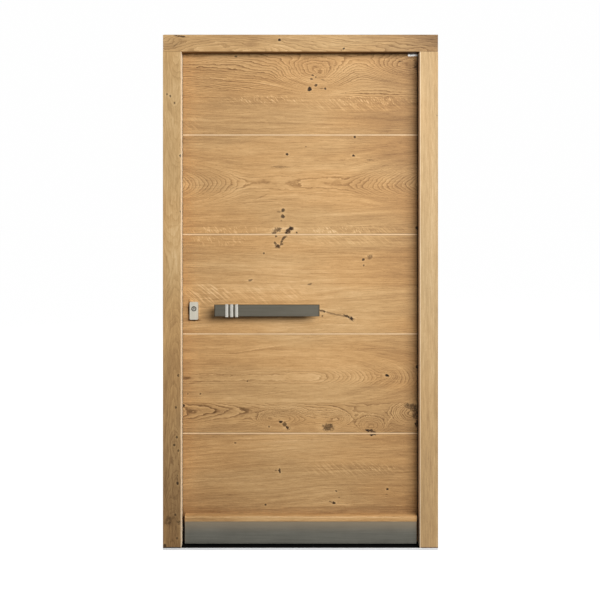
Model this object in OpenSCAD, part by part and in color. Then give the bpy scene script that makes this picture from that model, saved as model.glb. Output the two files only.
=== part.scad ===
// Wooden entrance door: an oak leaf of five wide horizontal boards parted by
// pale inlaid lines, hung on three barrel hinges in an oak frame, with a steel
// pull bar, a weather bar and a kick plate. Millimetres. +X is to the right
// seen from outside, outside is -Y, inside is +Y, +Z is up. The origin is the
// middle of the width and of the frame's depth, on the underside of the rail.

/* [Frame] */
// Overall width of the frame
frame_w = 1180; // [1080:5:1300]
// Overall height from the underside of the rail
frame_h = 2210; // [2000:5:2400]
// Depth of the frame, outside face to inside face
frame_d = 100; // [96:1:140]
// Width of a jamb seen from outside
face_w = 78; // [70:1:100]
// Height of the head seen from outside
head_h = 73; // [65:1:100]
// Depth of the stop that the leaf closes behind
stop_d = 40; // [30:1:44]
// How far the stop stands in front of the rebate
stop_w = 24; // [20:1:30]
// Height of the light metal rail under the frame
rail_h = 8; // [6:1:12]
// Height of the black threshold above the rail
threshold_h = 3; // [3:1:9]

/* [Leaf] */
// Thickness of the whole leaf
leaf_t = 80; // [76:1:90]
// Thickness of the inner lip that covers the frame
lip_t = 20; // [16:1:24]
// Thickness of each face layer
face_t = 12; // [8:1:14]
// Gap under the leaf, above the threshold
under_gap = 5; // [5:1:9]
// Height of the lowest inlaid line above the underside of the rail
inlay_z0 = 486; // [400:1:520]
// Distance from one inlaid line to the next
inlay_pitch = 432.7; // [380:0.1:440]
// Width of an inlaid line
inlay_w = 5.5; // [4:0.5:8]

/* [Foot of the leaf] */
// Height of the steel kick plate
kick_h = 98; // [60:1:150]
// Height of the oak weather bar above it
weather_h = 26; // [20:1:50]
// How far the weather bar stands out from the leaf
weather_out = 28; // [20:1:30]
// Distance from the middle to the left end of the weather bar
weather_left = 499; // [480:1:501]
// Distance from the middle to the right end of the weather bar
weather_right = 502; // [480:1:505]

/* [Pull bar] */
// Length of the bar
bar_l = 450; // [300:5:600]
// Height of the bar
bar_h = 50; // [30:1:60]
// Thickness of the bar
bar_t = 12; // [8:1:20]
// How far the bar's front stands out from the leaf
bar_out = 60; // [50:1:75]
// Middle of the bar, left of the door's middle
bar_x = -144; // [-220:1:-100]
// Height of the bar's middle
bar_z = 1028; // [900:1:1200]
// Width of a band round the bar
band_w = 13; // [8:0.5:20]
// Distance from one band to the next
band_pitch = 21; // [16:0.5:30]
// How far a band stands out from the bar
band_out = 2; // [1:0.5:4]

/* [Lock] */
// Distance of the lock from the middle
lock_x = -461; // [-480:1:-440]
// Height of the lock cylinder
lock_z = 1030; // [900:1:1150]
// How far the cylinder sits above the middle of its plate
plate_drop = 9; // [0:1:14]
// Width of the lock's plate
plate_w = 37; // [30:1:60]
// Height of the lock's plate
plate_h = 77; // [60:1:200]
// Thickness of the lock's plate
plate_t = 14; // [6:1:18]
// Radius of the lock cylinder
cyl_r = 11; // [9:0.5:13]
// Radius of the plug that the key turns
plug_r = 7.5; // [5:0.25:8]

/* [Hinges] */
// Distance of the hinge axis from the middle
axis_x = 561; // [555:1:575]
// Distance of the hinge axis inside the frame's middle
axis_y = 73; // [68:1:85]
// Radius of a hinge barrel
barrel_r = 10; // [8:0.5:12]
// Radius of a hinge pin
pin_r = 5; // [4:0.25:6]
// Height of a whole hinge
hinge_h = 120; // [90:1:160]
// Heights of the three hinges' middles
hinge_zs = [235, 1090, 1945];

/* [Fixings] */
// Radius of the screw holes through the jambs
fix_r = 4; // [3:0.5:6]
// Heights of the screw holes, two low and two high
fix_zs = [300, 800, 1400, 1900];

/* [Hidden] */
$fn = 64;

half_w = frame_w / 2;
y_out = -frame_d / 2;
y_in = frame_d / 2;
y_stop = y_out + stop_d;            // back of the stop
stop_x = half_w - face_w;           // inner edge of the stop
reb_x = stop_x + stop_w;            // side of the rebate
stop_z = frame_h - head_h;          // underside of the head's stop
reb_z = stop_z + stop_w;            // underside of the head in the rebate
leaf_y0 = y_stop + 5;               // outside face of the leaf
leaf_y1 = leaf_y0 + leaf_t;         // inside face of the leaf
lip_y = leaf_y1 - lip_t;            // outside of the lip
leaf_x = stop_x + 12;               // edge of the leaf inside the rebate
lip_x0 = -(reb_x + 16);             // left edge of the lip
lip_x1 = axis_x - barrel_r - 6;     // right edge of the lip
leaf_z0 = rail_h + threshold_h + under_gap;
leaf_z1 = stop_z + 12;
lip_z1 = reb_z + 16;
inlay_zs = [for (i = [3 : -1 : 0]) inlay_z0 + i * inlay_pitch];
forend_y = (leaf_y0 + face_t + lip_y) / 2;
lever_z = lock_z + 92;
kick_z1 = leaf_z0 + kick_h;
weather_z1 = kick_z1 + weather_h;
bar_y0 = leaf_y0 - bar_out;

OAK = [0.72, 0.56, 0.37];
OAK_DARK = [0.58, 0.45, 0.30];
PALE = [0.88, 0.78, 0.60];
STEEL = [0.42, 0.40, 0.35];
NICKEL = [0.78, 0.75, 0.67];
ALU = [0.85, 0.87, 0.89];
BLACK = [0.04, 0.04, 0.04];

// A box from one corner to the opposite one
module span(a, b) {
    translate(a) cube([b[0] - a[0], b[1] - a[1], b[2] - a[2]]);
}

// A rectangle with round corners, made of true arcs
module round_rect(w, h, r) {
    square([w - 2 * r, h], center = true);
    square([w, h - 2 * r], center = true);
    for (i = [-1, 1], j = [-1, 1])
        translate([i * (w / 2 - r), j * (h / 2 - r)]) circle(r);
}

// A round bar along Y from y0 to y1
module along_y(r, x, z, y0, y1) {
    translate([x, y0, z]) rotate([-90, 0, 0]) cylinder(r = r, h = y1 - y0);
}

// ---------------------------------------------------------------- the frame

module base_rail() {
    color(ALU) span([-half_w, y_out, 0], [half_w, y_in, rail_h]);
}

// Low black sill between the jambs, with a sloping nose outside
module threshold() {
    z1 = rail_h + threshold_h;
    color(BLACK) union() {
        translate([-stop_x, 0, 0]) rotate([90, 0, 90])
            linear_extrude(2 * stop_x)
                polygon([[y_out + 2, rail_h], [y_in, rail_h], [y_in, z1],
                    [y_out + 14, z1], [y_out + 2, z1 - 2]]);
        span([-reb_x, y_stop, rail_h], [reb_x, y_in, z1]);
    }
}

// The L-shaped section of a jamb: the stop outside, the rebate inside
module jamb_section() {
    polygon([[stop_x, y_out], [half_w, y_out], [half_w, y_in], [reb_x, y_in],
        [reb_x, y_stop], [stop_x, y_stop]]);
}

module jamb_with_holes() {
    difference() {
        translate([0, 0, rail_h]) linear_extrude(stop_z - rail_h) jamb_section();
        for (z = fix_zs)
            translate([reb_x - 1, 20, z]) rotate([0, 90, 0])
                cylinder(r = fix_r, h = half_w - reb_x + 2);
    }
}

module left_jamb() {
    color(OAK_DARK) difference() {
        mirror([1, 0, 0]) jamb_with_holes();
        // pockets for the latch and the bolt behind the strike plate
        span([-reb_x - 16, forend_y - 8, lever_z - 14], [-reb_x + 1, forend_y + 8, lever_z + 14]);
        span([-reb_x - 16, forend_y - 8, lock_z - 16], [-reb_x + 1, forend_y + 8, lock_z + 16]);
    }
}

module right_jamb() {
    color(OAK) jamb_with_holes();
}

// The head lies over both jambs and is rebated between them
module frame_head() {
    color(OAK) difference() {
        span([-half_w, y_out, stop_z], [half_w, y_in, frame_h]);
        span([-reb_x, y_stop, stop_z - 1], [reb_x, y_in + 1, reb_z]);
    }
}

// Black gaskets on the back of the stop, whose lips show past its edge
seal_lip = 0.8;
hinge_side_lip = 2.5;

module left_seal() {
    color(BLACK) span([-stop_x - 9, y_stop, rail_h + threshold_h],
        [-stop_x + seal_lip, y_stop + 3, stop_z - seal_lip]);
}

module right_seal() {
    color(BLACK) span([stop_x - hinge_side_lip, y_stop, rail_h + threshold_h],
        [stop_x + 9, y_stop + 3, stop_z - seal_lip]);
}

module head_seal() {
    color(BLACK) span([-stop_x - 9, y_stop, stop_z - seal_lip],
        [stop_x + 9, y_stop + 3, stop_z + 9]);
}

// Steel keep on the side of the left rebate, open for the latch and the bolt
module strike_plate() {
    color(NICKEL) difference() {
        span([-reb_x, forend_y - 12, lock_z - 60], [-reb_x + 3, forend_y + 12, lever_z + 50]);
        span([-reb_x - 1, forend_y - 8, lever_z - 14], [-reb_x + 4, forend_y + 8, lever_z + 14]);
        span([-reb_x - 1, forend_y - 8, lock_z - 16], [-reb_x + 4, forend_y + 8, lock_z + 16]);
    }
}

// ---------------------------------------------------------------- the hinges

knuckle = hinge_h / 4;

// A plate on the frame's inside face with an arm to each of two knuckles
module hinge_frame_half(zc) {
    z0 = zc - hinge_h / 2;
    color(NICKEL) difference() {
        union() {
            span([axis_x - 8, y_in, z0], [half_w - 2, y_in + 4, z0 + hinge_h]);
            for (z = [z0, z0 + hinge_h - knuckle]) {
                span([axis_x, y_in, z], [axis_x + barrel_r, axis_y, z + knuckle]);
                translate([axis_x, axis_y, z]) cylinder(r = barrel_r, h = knuckle);
            }
        }
        translate([axis_x, axis_y, z0 - 1]) cylinder(r = pin_r + 0.02, h = hinge_h + 2);
    }
}

// A plate on the leaf's inside face with one knuckle between the other two
module hinge_leaf_half(zc) {
    z0 = zc - hinge_h / 2;
    color(NICKEL) difference() {
        union() {
            span([axis_x - 58, leaf_y1, z0], [lip_x1, leaf_y1 + 4, z0 + hinge_h]);
            span([lip_x1 - 1, leaf_y1, z0 + knuckle + 1],
                [axis_x, leaf_y1 + 4, z0 + hinge_h - knuckle - 1]);
            translate([axis_x, axis_y, z0 + knuckle + 1])
                cylinder(r = barrel_r, h = hinge_h - 2 * knuckle - 2);
        }
        translate([axis_x, axis_y, z0 - 1]) cylinder(r = pin_r + 0.05, h = hinge_h + 2);
    }
}

module top_hinge_frame_half() { hinge_frame_half(hinge_zs[2]); }
module middle_hinge_frame_half() { hinge_frame_half(hinge_zs[1]); }
module bottom_hinge_frame_half() { hinge_frame_half(hinge_zs[0]); }
module top_hinge_leaf_half() { hinge_leaf_half(hinge_zs[2]); }
module middle_hinge_leaf_half() { hinge_leaf_half(hinge_zs[1]); }
module bottom_hinge_leaf_half() { hinge_leaf_half(hinge_zs[0]); }

module hinge_pins() {
    color(NICKEL) for (z = hinge_zs)
        translate([axis_x, axis_y, z - hinge_h / 2]) {
            translate([0, 0, -3]) cylinder(r = pin_r, h = hinge_h + 3);
            translate([0, 0, hinge_h]) cylinder(r = barrel_r - 1.5, h = 4);
        }
}

// ---------------------------------------------------------------- the leaf

// Laminated middle of the leaf, with the start of the lip; let in for the lock
module leaf_core() {
    color(OAK) difference() {
        union() {
            span([-leaf_x, leaf_y0 + face_t, leaf_z0], [leaf_x, leaf_y1 - face_t, leaf_z1]);
            span([lip_x0, lip_y, leaf_z0], [lip_x1, leaf_y1 - face_t, lip_z1]);
        }
        span([-leaf_x - 1, forend_y - 12, lock_z - 720],
            [-leaf_x + 3, forend_y + 12, lock_z + 880]);
    }
}

// Lower and upper edge of face board i, counted from the top, 1 to 5
function board_lo(i) = i == 5 ? leaf_z0 : inlay_zs[i - 1] + inlay_w / 2;
function board_hi(i, top) = i == 1 ? top : inlay_zs[i - 2] - inlay_w / 2;

module outer_board(i) {
    color(OAK) span([-leaf_x, leaf_y0, board_lo(i)],
        [leaf_x, leaf_y0 + face_t, board_hi(i, leaf_z1)]);
}

module inner_board(i) {
    color(OAK) span([lip_x0, leaf_y1 - face_t, board_lo(i)],
        [lip_x1, leaf_y1, board_hi(i, lip_z1)]);
}

label_x0 = 469;
label_x1 = stop_x - 3;
label_z0 = stop_z - 10;
label_z1 = stop_z - 0.5;

module outer_board_1() {
    color(OAK) difference() {
        outer_board(1);
        span([label_x0, leaf_y0 - 1, label_z0], [label_x1, leaf_y0 + 1, label_z1]);
    }
}
module outer_board_2() { outer_board(2); }
module outer_board_3() { outer_board(3); }
module outer_board_4() { outer_board(4); }
module outer_board_5() { outer_board(5); }
module inner_board_1() { inner_board(1); }
module inner_board_2() { inner_board(2); }
module inner_board_3() { inner_board(3); }
module inner_board_4() { inner_board(4); }
module inner_board_5() { inner_board(5); }

module outer_inlays() {
    color(PALE) for (z = inlay_zs)
        span([-leaf_x, leaf_y0, z - inlay_w / 2], [leaf_x, leaf_y0 + face_t, z + inlay_w / 2]);
}

module inner_inlays() {
    color(PALE) for (z = inlay_zs)
        span([lip_x0, leaf_y1 - face_t, z - inlay_w / 2], [lip_x1, leaf_y1, z + inlay_w / 2]);
}

// Oak weather bar with a sloping top and a drip groove in front of the kick plate
module weather_bar() {
    color(OAK) translate([-weather_left, 0, 0]) rotate([90, 0, 90])
        linear_extrude(weather_left + weather_right)
            polygon([[leaf_y0, kick_z1], [leaf_y0 - weather_out + 4.5, kick_z1],
                [leaf_y0 - weather_out + 4.5, kick_z1 + 2.5],
                [leaf_y0 - weather_out + 2, kick_z1 + 2.5],
                [leaf_y0 - weather_out + 2, kick_z1], [leaf_y0 - weather_out, kick_z1],
                [leaf_y0 - weather_out, weather_z1 - 4],
                [leaf_y0 - 4, weather_z1], [leaf_y0, weather_z1]]);
}

module kick_backing() {
    color(OAK) span([-weather_left, leaf_y0 - weather_out + 8, leaf_z0 + 2],
        [weather_right, leaf_y0, kick_z1]);
}

// Folded stainless sheet: a front and a short lip turned under the backing
module kick_plate() {
    y0 = leaf_y0 - weather_out + 6;
    color(STEEL) union() {
        span([-weather_left, y0, leaf_z0], [weather_right, y0 + 2, kick_z1]);
        span([-weather_left, y0, leaf_z0], [weather_right, leaf_y0, leaf_z0 + 2]);
    }
}

// ---------------------------------------------------------------- the pull bar

// Flat bar with bevelled ends and eased long edges
module pull_bar() {
    e = 4;
    c = 1.5;
    color(STEEL) translate([bar_x, bar_y0, bar_z]) intersection() {
        translate([0, 0, -bar_h]) linear_extrude(2 * bar_h)
            polygon([[-bar_l / 2 + e, 0], [bar_l / 2 - e, 0], [bar_l / 2, e],
                [bar_l / 2, bar_t], [-bar_l / 2, bar_t], [-bar_l / 2, e]]);
        translate([-bar_l, 0, 0]) rotate([90, 0, 90]) linear_extrude(2 * bar_l)
            polygon([[0, -bar_h / 2 + c], [c, -bar_h / 2], [bar_t, -bar_h / 2],
                [bar_t, bar_h / 2], [c, bar_h / 2], [0, bar_h / 2 - c]]);
    }
}

// A band's outline from above: flat in front, with a rounded shoulder on the right
module band_section() {
    w = band_w / 2;
    f = -band_out - 1;
    polygon([[-w, bar_t + band_out], [-w, f + 0.8], [-w + 0.8, f], [w - 4.6, f], [w - 3.2, f + 0.25],
        [w - 2, f + 0.75], [w - 1, f + 1.5], [w - 0.3, f + 2.4], [w, f + 3.4], [w, bar_t + band_out]]);
}

// Three close sleeves round the bar near its left end
module pull_bar_bands() {
    x0 = bar_x - bar_l / 2 + 54.5;
    color(NICKEL) for (i = [0 : 2])
        difference() {
            translate([x0 + i * band_pitch, bar_y0, bar_z - bar_h / 2 - band_out])
                linear_extrude(bar_h + 2 * band_out) band_section();
            translate([x0 + i * band_pitch - band_w, 0, 0]) rotate([90, 0, 90])
                linear_extrude(2 * band_w)
                    polygon([[bar_y0, bar_z - bar_h / 2 + 1.5], [bar_y0 + 1.5, bar_z - bar_h / 2],
                        [bar_y0 + bar_t, bar_z - bar_h / 2], [bar_y0 + bar_t, bar_z + bar_h / 2],
                        [bar_y0 + 1.5, bar_z + bar_h / 2], [bar_y0, bar_z + bar_h / 2 - 1.5]]);
        }
}

module pull_bar_posts() {
    color(STEEL) for (x = [bar_x - bar_l / 2 + 26, bar_x + bar_l / 2 - 26])
        along_y(9, x, bar_z, bar_y0 + bar_t, leaf_y0);
}

// ---------------------------------------------------------------- the lock

module lock_plate() {
    color(NICKEL) difference() {
        translate([lock_x, leaf_y0, lock_z - plate_drop]) rotate([90, 0, 0])
            linear_extrude(plate_t) round_rect(plate_w, plate_h, 5);
        along_y(cyl_r, lock_x, lock_z, leaf_y0 - plate_t - 1, leaf_y0 + 1);
    }
}

// Round cylinder that holds the plug, level with the plate
module lock_cylinder() {
    color(STEEL) difference() {
        along_y(cyl_r, lock_x, lock_z, leaf_y0 - plate_t - 1.5, leaf_y0);
        along_y(plug_r + 0.05, lock_x, lock_z, leaf_y0 - plate_t - 3, leaf_y0 - 0.5);
    }
}

// The plug that the key turns, with its slot in the upper half
module key_plug() {
    color(NICKEL) difference() {
        along_y(plug_r, lock_x, lock_z, leaf_y0 - plate_t - 2, leaf_y0 - 1);
        span([lock_x - 1.6, leaf_y0 - plate_t - 3, lock_z - 1.5],
            [lock_x + 1.6, leaf_y0 - plate_t + 5, lock_z + 6.2]);
    }
}

// Blank metal label let in flush at the top right, in two fields
module label_plate() {
    xs = label_x0 + 10;
    color(NICKEL) difference() {
        span([label_x0, leaf_y0, label_z0], [label_x1, leaf_y0 + 1, label_z1]);
        span([xs - 0.6, leaf_y0 - 1, label_z0 - 1], [xs + 0.6, leaf_y0 + 0.5, label_z1 + 1]);
    }
}

// Long steel face of the lock, let into the leaf's left edge
module lock_forend() {
    color(NICKEL) difference() {
        span([-leaf_x, forend_y - 12, lock_z - 720], [-leaf_x + 3, forend_y + 12, lock_z + 880]);
        span([-leaf_x - 1, forend_y - 7, lever_z - 12], [-leaf_x + 4, forend_y + 7, lever_z + 12]);
        span([-leaf_x - 1, forend_y - 7, lock_z - 14], [-leaf_x + 4, forend_y + 7, lock_z + 14]);
    }
}

// Latch and bolt, drawn back until they are level with the forend
module lock_bolts() {
    color(STEEL) {
        span([-leaf_x - 0.5, forend_y - 6.5, lever_z - 11.5], [-leaf_x + 3, forend_y + 6.5, lever_z + 11.5]);
        span([-leaf_x - 0.5, forend_y - 6.5, lock_z - 13.5], [-leaf_x + 3, forend_y + 6.5, lock_z + 13.5]);
    }
}

module inner_lever_rose() {
    color(NICKEL) along_y(26, lock_x, lever_z, leaf_y1, leaf_y1 + 8);
}

// Neck and grip of the inside lever
module inner_lever() {
    color(NICKEL) union() {
        along_y(9, lock_x, lever_z, leaf_y1 + 8, leaf_y1 + 55);
        translate([lock_x, leaf_y1 + 55, lever_z]) rotate([0, 90, 0]) cylinder(r = 9, h = 122);
        translate([lock_x, leaf_y1 + 55, lever_z]) sphere(r = 9);
    }
}

module inner_lock_rose() {
    color(NICKEL) difference() {
        along_y(26, lock_x, lock_z, leaf_y1, leaf_y1 + 8);
        span([lock_x - 1.6, leaf_y1 + 4, lock_z - 1.5], [lock_x + 1.6, leaf_y1 + 9, lock_z + 6.2]);
    }
}

// ---------------------------------------------------------------- what is drawn

base_rail();
threshold();
left_jamb();
right_jamb();
frame_head();
left_seal();
right_seal();
head_seal();
strike_plate();
top_hinge_frame_half();
middle_hinge_frame_half();
bottom_hinge_frame_half();
hinge_pins();
leaf_core();
outer_board_1();
outer_board_2();
outer_board_3();
outer_board_4();
outer_board_5();
outer_inlays();
inner_board_1();
inner_board_2();
inner_board_3();
inner_board_4();
inner_board_5();
inner_inlays();
weather_bar();
kick_backing();
kick_plate();
pull_bar();
pull_bar_bands();
pull_bar_posts();
lock_plate();
lock_cylinder();
label_plate();
lock_forend();
lock_bolts();
inner_lever_rose();
inner_lever();
inner_lock_rose();
top_hinge_leaf_half();
middle_hinge_leaf_half();
bottom_hinge_leaf_half();
key_plug();
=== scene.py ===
import bpy, bmesh, math, random
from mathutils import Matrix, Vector


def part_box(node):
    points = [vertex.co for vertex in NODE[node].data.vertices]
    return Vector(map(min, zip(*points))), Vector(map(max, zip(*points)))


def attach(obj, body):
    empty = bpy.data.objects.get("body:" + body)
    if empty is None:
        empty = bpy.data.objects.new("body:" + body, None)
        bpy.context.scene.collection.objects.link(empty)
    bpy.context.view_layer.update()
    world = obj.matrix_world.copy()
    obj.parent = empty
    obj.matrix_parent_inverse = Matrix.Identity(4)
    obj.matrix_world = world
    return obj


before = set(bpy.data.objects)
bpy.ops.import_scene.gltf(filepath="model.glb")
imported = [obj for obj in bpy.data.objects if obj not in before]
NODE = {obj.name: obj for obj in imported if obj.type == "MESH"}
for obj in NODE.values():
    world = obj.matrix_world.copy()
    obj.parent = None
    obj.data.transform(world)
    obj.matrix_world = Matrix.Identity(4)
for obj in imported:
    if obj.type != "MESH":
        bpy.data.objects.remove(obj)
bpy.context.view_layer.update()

scene = bpy.context.scene

# ------------------------------------------------------------------ view and light

DIST = 3.10            # from the eye to the frame's outside face
EYE = Vector((-0.06, -0.05 - DIST, 1.45))
cam_data = bpy.data.cameras.new("camera")
cam = bpy.data.objects.new("camera", cam_data)
scene.collection.objects.link(cam)
cam.location = EYE
cam.rotation_euler = (math.radians(90), 0, 0)
cam_data.sensor_width = 36
cam_data.lens = 722.9 / 600 * 36
cam_data.shift_x = 0.0225
cam_data.shift_y = -0.147
cam_data.clip_start, cam_data.clip_end = 0.05, 200
scene.camera = cam

scene.view_settings.view_transform = "Standard"
scene.view_settings.look = "None"
scene.cycles.max_bounces = 6
scene.cycles.diffuse_bounces = 3
scene.cycles.glossy_bounces = 3
scene.cycles.use_denoising = True
scene.cycles.sample_clamp_indirect = 4
scene.cycles.seed = 7


def area(name, where, aim, size_x, size_y, watts, colour=(1, 1, 1)):
    data = bpy.data.lights.new(name, "AREA")
    data.shape = "RECTANGLE"
    data.size, data.size_y = size_x, size_y
    data.energy = watts
    data.color = colour
    o = bpy.data.objects.new(name, data)
    scene.collection.objects.link(o)
    o.location = where
    o.rotation_euler = (Vector(aim) - Vector(where)).to_track_quat("-Z", "Y").to_euler()
    o.visible_camera = False
    return o


area("key", (2.95, -4.30, 3.15), (0.0, 0, 1.15), 4.6, 2.2, 405, (1, 0.985, 0.955))
area("fill", (-0.7, -6.2, 2.4), (0, 0, 1.1), 2.4, 2.4, 36, (1, 0.99, 0.97))
low = area("low_card", (0.5, -2.9, 0.15), (0, 0, 0.9), 4.0, 0.7, 7)
low.visible_diffuse = False
area("inside_key", (-3.0, 4.6, 3.4), (0, 0, 1.1), 3.2, 2.0, 430, (1, 0.99, 0.97))
area("inside_fill", (3.6, 4.2, 2.4), (0, 0, 1.0), 2.4, 2.4, 120)

world = bpy.data.worlds.new("studio")
scene.world = world
world.use_nodes = True
wt = world.node_tree
wt.nodes.clear()
w_out = wt.nodes.new("ShaderNodeOutputWorld")
w_bg = wt.nodes.new("ShaderNodeBackground")
w_path = wt.nodes.new("ShaderNodeLightPath")
w_mul = wt.nodes.new("ShaderNodeMath")
w_mul.operation = "MULTIPLY_ADD"
w_gl = wt.nodes.new("ShaderNodeMath")
w_gl.operation = "MULTIPLY_ADD"
wt.links.new(w_path.outputs["Is Camera Ray"], w_mul.inputs[0])
w_mul.inputs[1].default_value = 0.94
w_mul.inputs[2].default_value = 0.055
wt.links.new(w_path.outputs["Is Glossy Ray"], w_gl.inputs[0])
w_gl.inputs[1].default_value = 0.27
wt.links.new(w_mul.outputs[0], w_gl.inputs[2])
wt.links.new(w_gl.outputs[0], w_bg.inputs["Strength"])
w_bg.inputs["Color"].default_value = (1, 1, 1, 1)
wt.links.new(w_bg.outputs[0], w_out.inputs[0])

floor_mesh = bpy.data.meshes.new("studio_floor")
bm = bmesh.new()
bmesh.ops.create_circle(bm, cap_ends=True, segments=96, radius=60)
bm.to_mesh(floor_mesh)
bm.free()
floor = bpy.data.objects.new("studio_floor", floor_mesh)
scene.collection.objects.link(floor)
floor.location = (0, 0, -0.0005)
floor.visible_diffuse = False
floor.visible_glossy = False
fm = bpy.data.materials.new("studio_floor")
fm.use_nodes = True
fb = fm.node_tree.nodes["Principled BSDF"]
fb.inputs["Base Color"].default_value = (0.06, 0.06, 0.06, 1)
fb.inputs["Roughness"].default_value = 1.0
fb.inputs["Specular IOR Level"].default_value = 0.0
fb.inputs["Emission Color"].default_value = (1, 1, 1, 1)
fb.inputs["Emission Strength"].default_value = 0.992
fm.cycles.emission_sampling = "NONE"
floor_mesh.materials.append(fm)

# ------------------------------------------------------------------ material builder


class S:
    """A number in a material's node tree."""

    def __init__(self, g, out):
        self.g, self.out = g, out

    def __add__(self, o): return self.g.m("ADD", self, o)
    def __radd__(self, o): return self.g.m("ADD", o, self)
    def __sub__(self, o): return self.g.m("SUBTRACT", self, o)
    def __rsub__(self, o): return self.g.m("SUBTRACT", o, self)
    def __mul__(self, o): return self.g.m("MULTIPLY", self, o)
    def __rmul__(self, o): return self.g.m("MULTIPLY", o, self)
    def __truediv__(self, o): return self.g.m("DIVIDE", self, o)


class Graph:
    def __init__(self, name):
        self.mat = bpy.data.materials.new(name)
        self.mat.use_nodes = True
        self.nt = self.mat.node_tree
        self.nt.nodes.clear()
        self.out = self.nt.nodes.new("ShaderNodeOutputMaterial")
        self.bsdf = self.nt.nodes.new("ShaderNodeBsdfPrincipled")
        self.nt.links.new(self.bsdf.outputs[0], self.out.inputs[0])
        tc = self.nt.nodes.new("ShaderNodeTexCoord")
        self.P = tc.outputs["Object"]
        sep = self.nt.nodes.new("ShaderNodeSeparateXYZ")
        self.nt.links.new(self.P, sep.inputs[0])
        self.x, self.y, self.z = (S(self, sep.outputs[i]) for i in range(3))

    def put(self, socket, v):
        if isinstance(v, S):
            self.nt.links.new(v.out, socket)
        elif isinstance(v, bpy.types.NodeSocket):
            self.nt.links.new(v, socket)
        else:
            socket.default_value = v

    def m(self, op, *args, clamp=False):
        n = self.nt.nodes.new("ShaderNodeMath")
        n.operation = op
        n.use_clamp = clamp
        for i, a in enumerate(args):
            self.put(n.inputs[i], a)
        return S(self, n.outputs[0])

    def smooth(self, v, a, b, lo=0.0, hi=1.0, kind="SMOOTHSTEP"):
        """lo where v is at a, hi where it is at b."""
        n = self.nt.nodes.new("ShaderNodeMapRange")
        n.interpolation_type = kind
        for k, s in (("From Min", a), ("From Max", b), ("To Min", lo), ("To Max", hi)):
            self.put(n.inputs[k], s)
        self.put(n.inputs["Value"], v)
        return S(self, n.outputs["Result"])

    def vec(self, x, y, z):
        n = self.nt.nodes.new("ShaderNodeCombineXYZ")
        for i, a in enumerate((x, y, z)):
            self.put(n.inputs[i], a)
        return n.outputs[0]

    def vm(self, op, *args):
        n = self.nt.nodes.new("ShaderNodeVectorMath")
        n.operation = op
        for i, a in enumerate(args):
            self.put(n.inputs[i], a)
        return n.outputs["Value"] if op in ("LENGTH", "DOT_PRODUCT") else n.outputs["Vector"]

    def noise(self, vec, scale=1.0, detail=2.0, rough=0.5, colour=False):
        n = self.nt.nodes.new("ShaderNodeTexNoise")
        self.put(n.inputs["Vector"], vec)
        n.inputs["Scale"].default_value = scale
        n.inputs["Detail"].default_value = detail
        n.inputs["Roughness"].default_value = rough
        return n.outputs["Color"] if colour else S(self, n.outputs[0])

    def blob(self, at, half, turn, axis, P=None):
        """Distance from a place, 1 on an ellipse of the given half sizes turned about one axis."""
        n = self.nt.nodes.new("ShaderNodeMapping")
        n.vector_type = "TEXTURE"
        self.put(n.inputs["Vector"], P or self.P)
        n.inputs["Location"].default_value = at
        rot = [0.0, 0.0, 0.0]
        rot[axis] = turn
        n.inputs["Rotation"].default_value = rot
        n.inputs["Scale"].default_value = half
        return S(self, self.vm("LENGTH", n.outputs[0]))

    def ramp(self, v, stops, kind="LINEAR"):
        n = self.nt.nodes.new("ShaderNodeValToRGB")
        r = n.color_ramp
        r.interpolation = kind
        while len(r.elements) < len(stops):
            r.elements.new(0.5)
        for e, (p, c) in zip(r.elements, stops):
            e.position = p
            e.color = (*c, 1)
        self.put(n.inputs[0], v)
        return n.outputs[0]

    def mix(self, f, a, b, kind="MIX"):
        n = self.nt.nodes.new("ShaderNodeMix")
        n.data_type = "RGBA"
        n.blend_type = kind
        self.put(n.inputs[0], f)
        for s, v in ((n.inputs[6], a), (n.inputs[7], b)):
            self.put(s, (*v, 1) if isinstance(v, tuple) else v)
        return n.outputs[2]

    def bump(self, height, strength, distance):
        n = self.nt.nodes.new("ShaderNodeBump")
        n.inputs["Strength"].default_value = strength
        n.inputs["Distance"].default_value = distance
        self.put(n.inputs["Height"], height)
        self.nt.links.new(n.outputs[0], self.bsdf.inputs["Normal"])


# ------------------------------------------------------------------ oak

OAK = [
    (0.00, (0.006, 0.004, 0.003)),
    (0.14, (0.040, 0.019, 0.008)),
    (0.30, (0.135, 0.066, 0.025)),
    (0.50, (0.300, 0.165, 0.068)),
    (0.64, (0.440, 0.255, 0.108)),
    (0.76, (0.560, 0.336, 0.145)),
    (0.88, (0.680, 0.432, 0.205)),
    (1.00, (0.790, 0.545, 0.300)),
]
KNOT = [
    (0.34, (0.010, 0.006, 0.003)),
    (0.45, (0.040, 0.020, 0.009)),
    (0.54, (0.125, 0.066, 0.027)),
    (0.66, (0.300, 0.180, 0.085)),
]
PX = 0.004349


def on_leaf(px, py):
    return (-0.060 + (px - 286.5) * PX, 1.450 - (py - 211.8) * PX)


def on_frame(px, py):
    return ((px - 300.5) * 0.004287, (550 - py) * 0.004287)


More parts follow.
